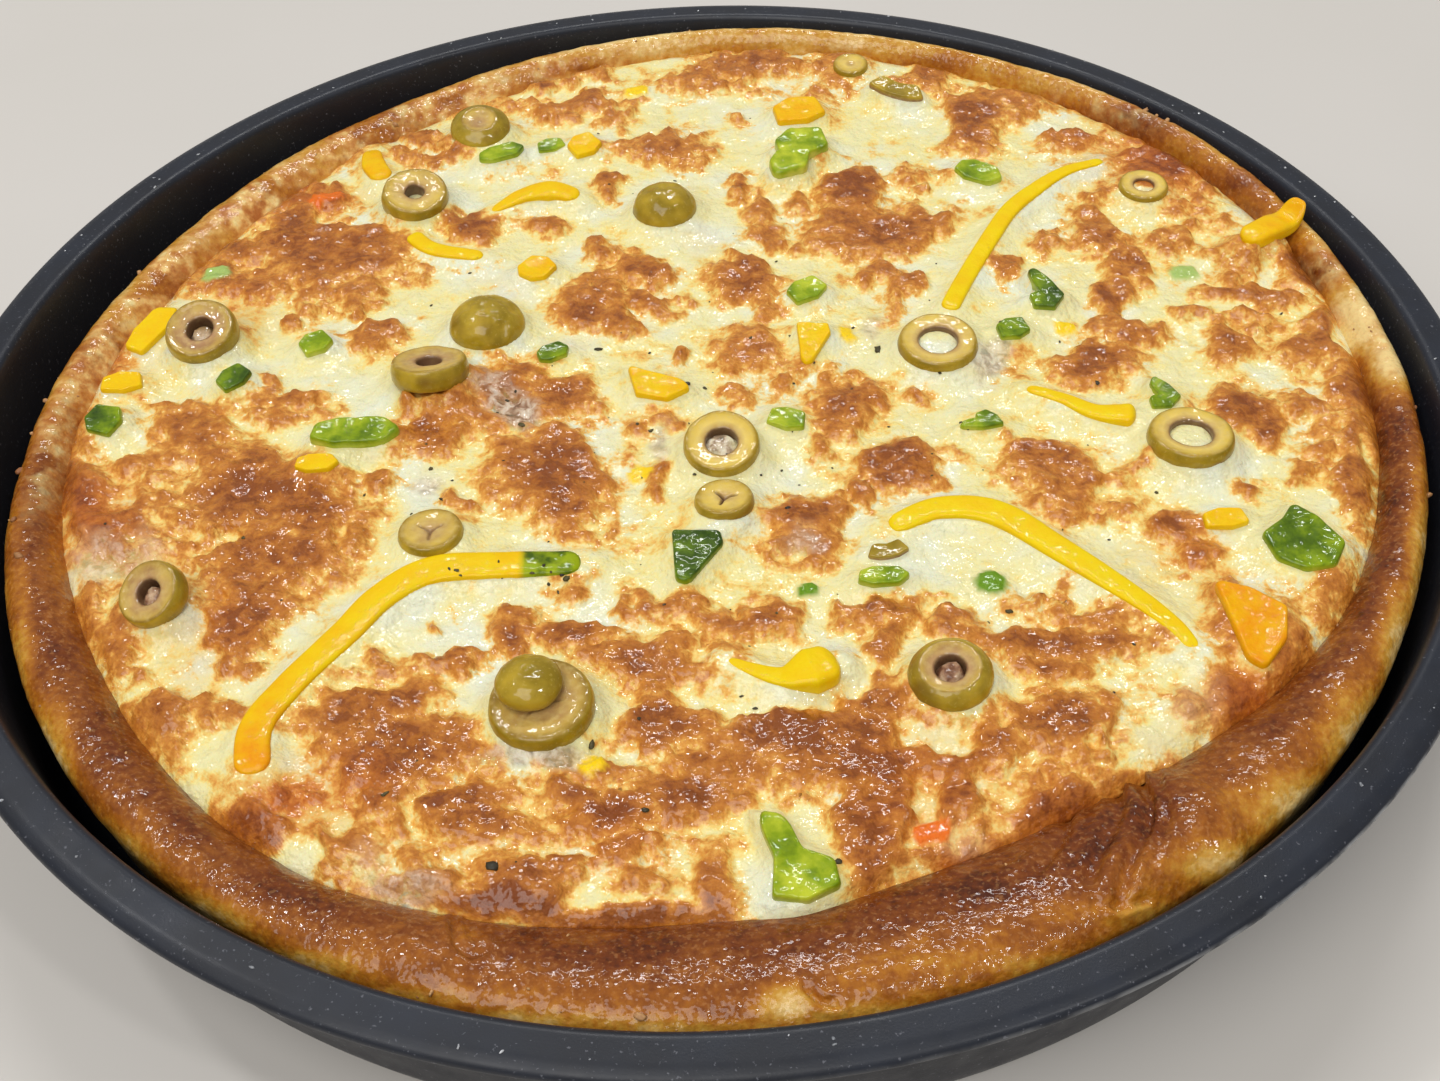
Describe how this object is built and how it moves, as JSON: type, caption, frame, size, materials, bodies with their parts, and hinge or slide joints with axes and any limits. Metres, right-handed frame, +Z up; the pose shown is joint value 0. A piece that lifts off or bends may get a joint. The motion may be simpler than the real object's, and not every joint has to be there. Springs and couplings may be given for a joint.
{
  "type": "deep dish pizza in its pan",
  "caption": "Baked deep dish pizza with browned cheese, olive slices and sweet pepper pieces, in its round dark lipped pan.",
  "frame": {"origin": "middle of the flat underside of the pan", "axes": "+Z up out of the pan, -Y towards the viewer of the picture, +X to the viewer's right"},
  "size_m": [0.322, 0.322, 0.0455],
  "materials": {
    "pan_coating": "dark non-stick coating, satin",
    "baked_dough": "browned dough, brushed with oil",
    "melted_cheese": "melted cheese with browned blisters",
    "green_olive": "wet olive skin and duller cut faces",
    "yellow_pepper": "glossy baked yellow pepper",
    "orange_pepper": "glossy baked orange pepper",
    "green_pepper": "glossy baked green pepper"
  },
  "bodies": {
    "root": {"cheese": "melted_cheese", "crust": "baked_dough", "green_dice_01": "green_pepper", "green_dice_02": "green_pepper", "green_dice_03": "green_pepper", "green_dice_04": "green_pepper", "green_dice_05": "green_pepper", "green_dice_06": "green_pepper", "green_dice_07": "green_pepper", "green_dice_08": "green_pepper", "green_dice_09": "green_pepper", "green_dice_10": "green_pepper", "green_dice_11": "green_pepper", "green_dice_12": "green_pepper", "green_dice_13": "green_pepper", "green_dice_14": "green_pepper", "green_dice_15": "green_pepper", "green_dice_16": "green_pepper", "green_dice_17": "green_pepper", "green_dice_18": "green_pepper", "green_dice_19": "green_pepper", "olive_end_01": "green_olive", "olive_end_02": "green_olive", "olive_end_03": "green_olive", "olive_half_01": "green_olive", "olive_half_02": "green_olive", "olive_ring_01": "green_olive", "olive_ring_02": "green_olive", "olive_ring_03": "green_olive", "olive_ring_04": "green_olive", "olive_ring_05": "green_olive", "olive_ring_06": "green_olive", "olive_ring_07": "green_olive", "olive_ring_08": "green_olive", "olive_ring_09": "green_olive", "olive_ring_10": "green_olive", "olive_ring_11": "green_olive", "olive_ring_12": "green_olive", "olive_ring_13": "green_olive", "olive_ring_14": "green_olive", "orange_dice_01": "orange_pepper", "pan": "pan_coating", "yellow_dice_01": "yellow_pepper", "yellow_dice_02": "yellow_pepper", "yellow_dice_03": "yellow_pepper", "yellow_dice_04": "yellow_pepper", "yellow_dice_05": "yellow_pepper", "yellow_dice_06": "yellow_pepper", "yellow_dice_07": "yellow_pepper", "yellow_dice_08": "yellow_pepper", "yellow_dice_09": "yellow_pepper", "yellow_strip_01": "yellow_pepper", "yellow_strip_02": "yellow_pepper", "yellow_strip_03": "yellow_pepper", "yellow_strip_04": "yellow_pepper", "yellow_strip_05": "yellow_pepper", "yellow_strip_06": "yellow_pepper", "yellow_strip_07": "yellow_pepper", "yellow_strip_08": "yellow_pepper", "yellow_strip_09": "yellow_pepper"}
  },
  "joints": []
}
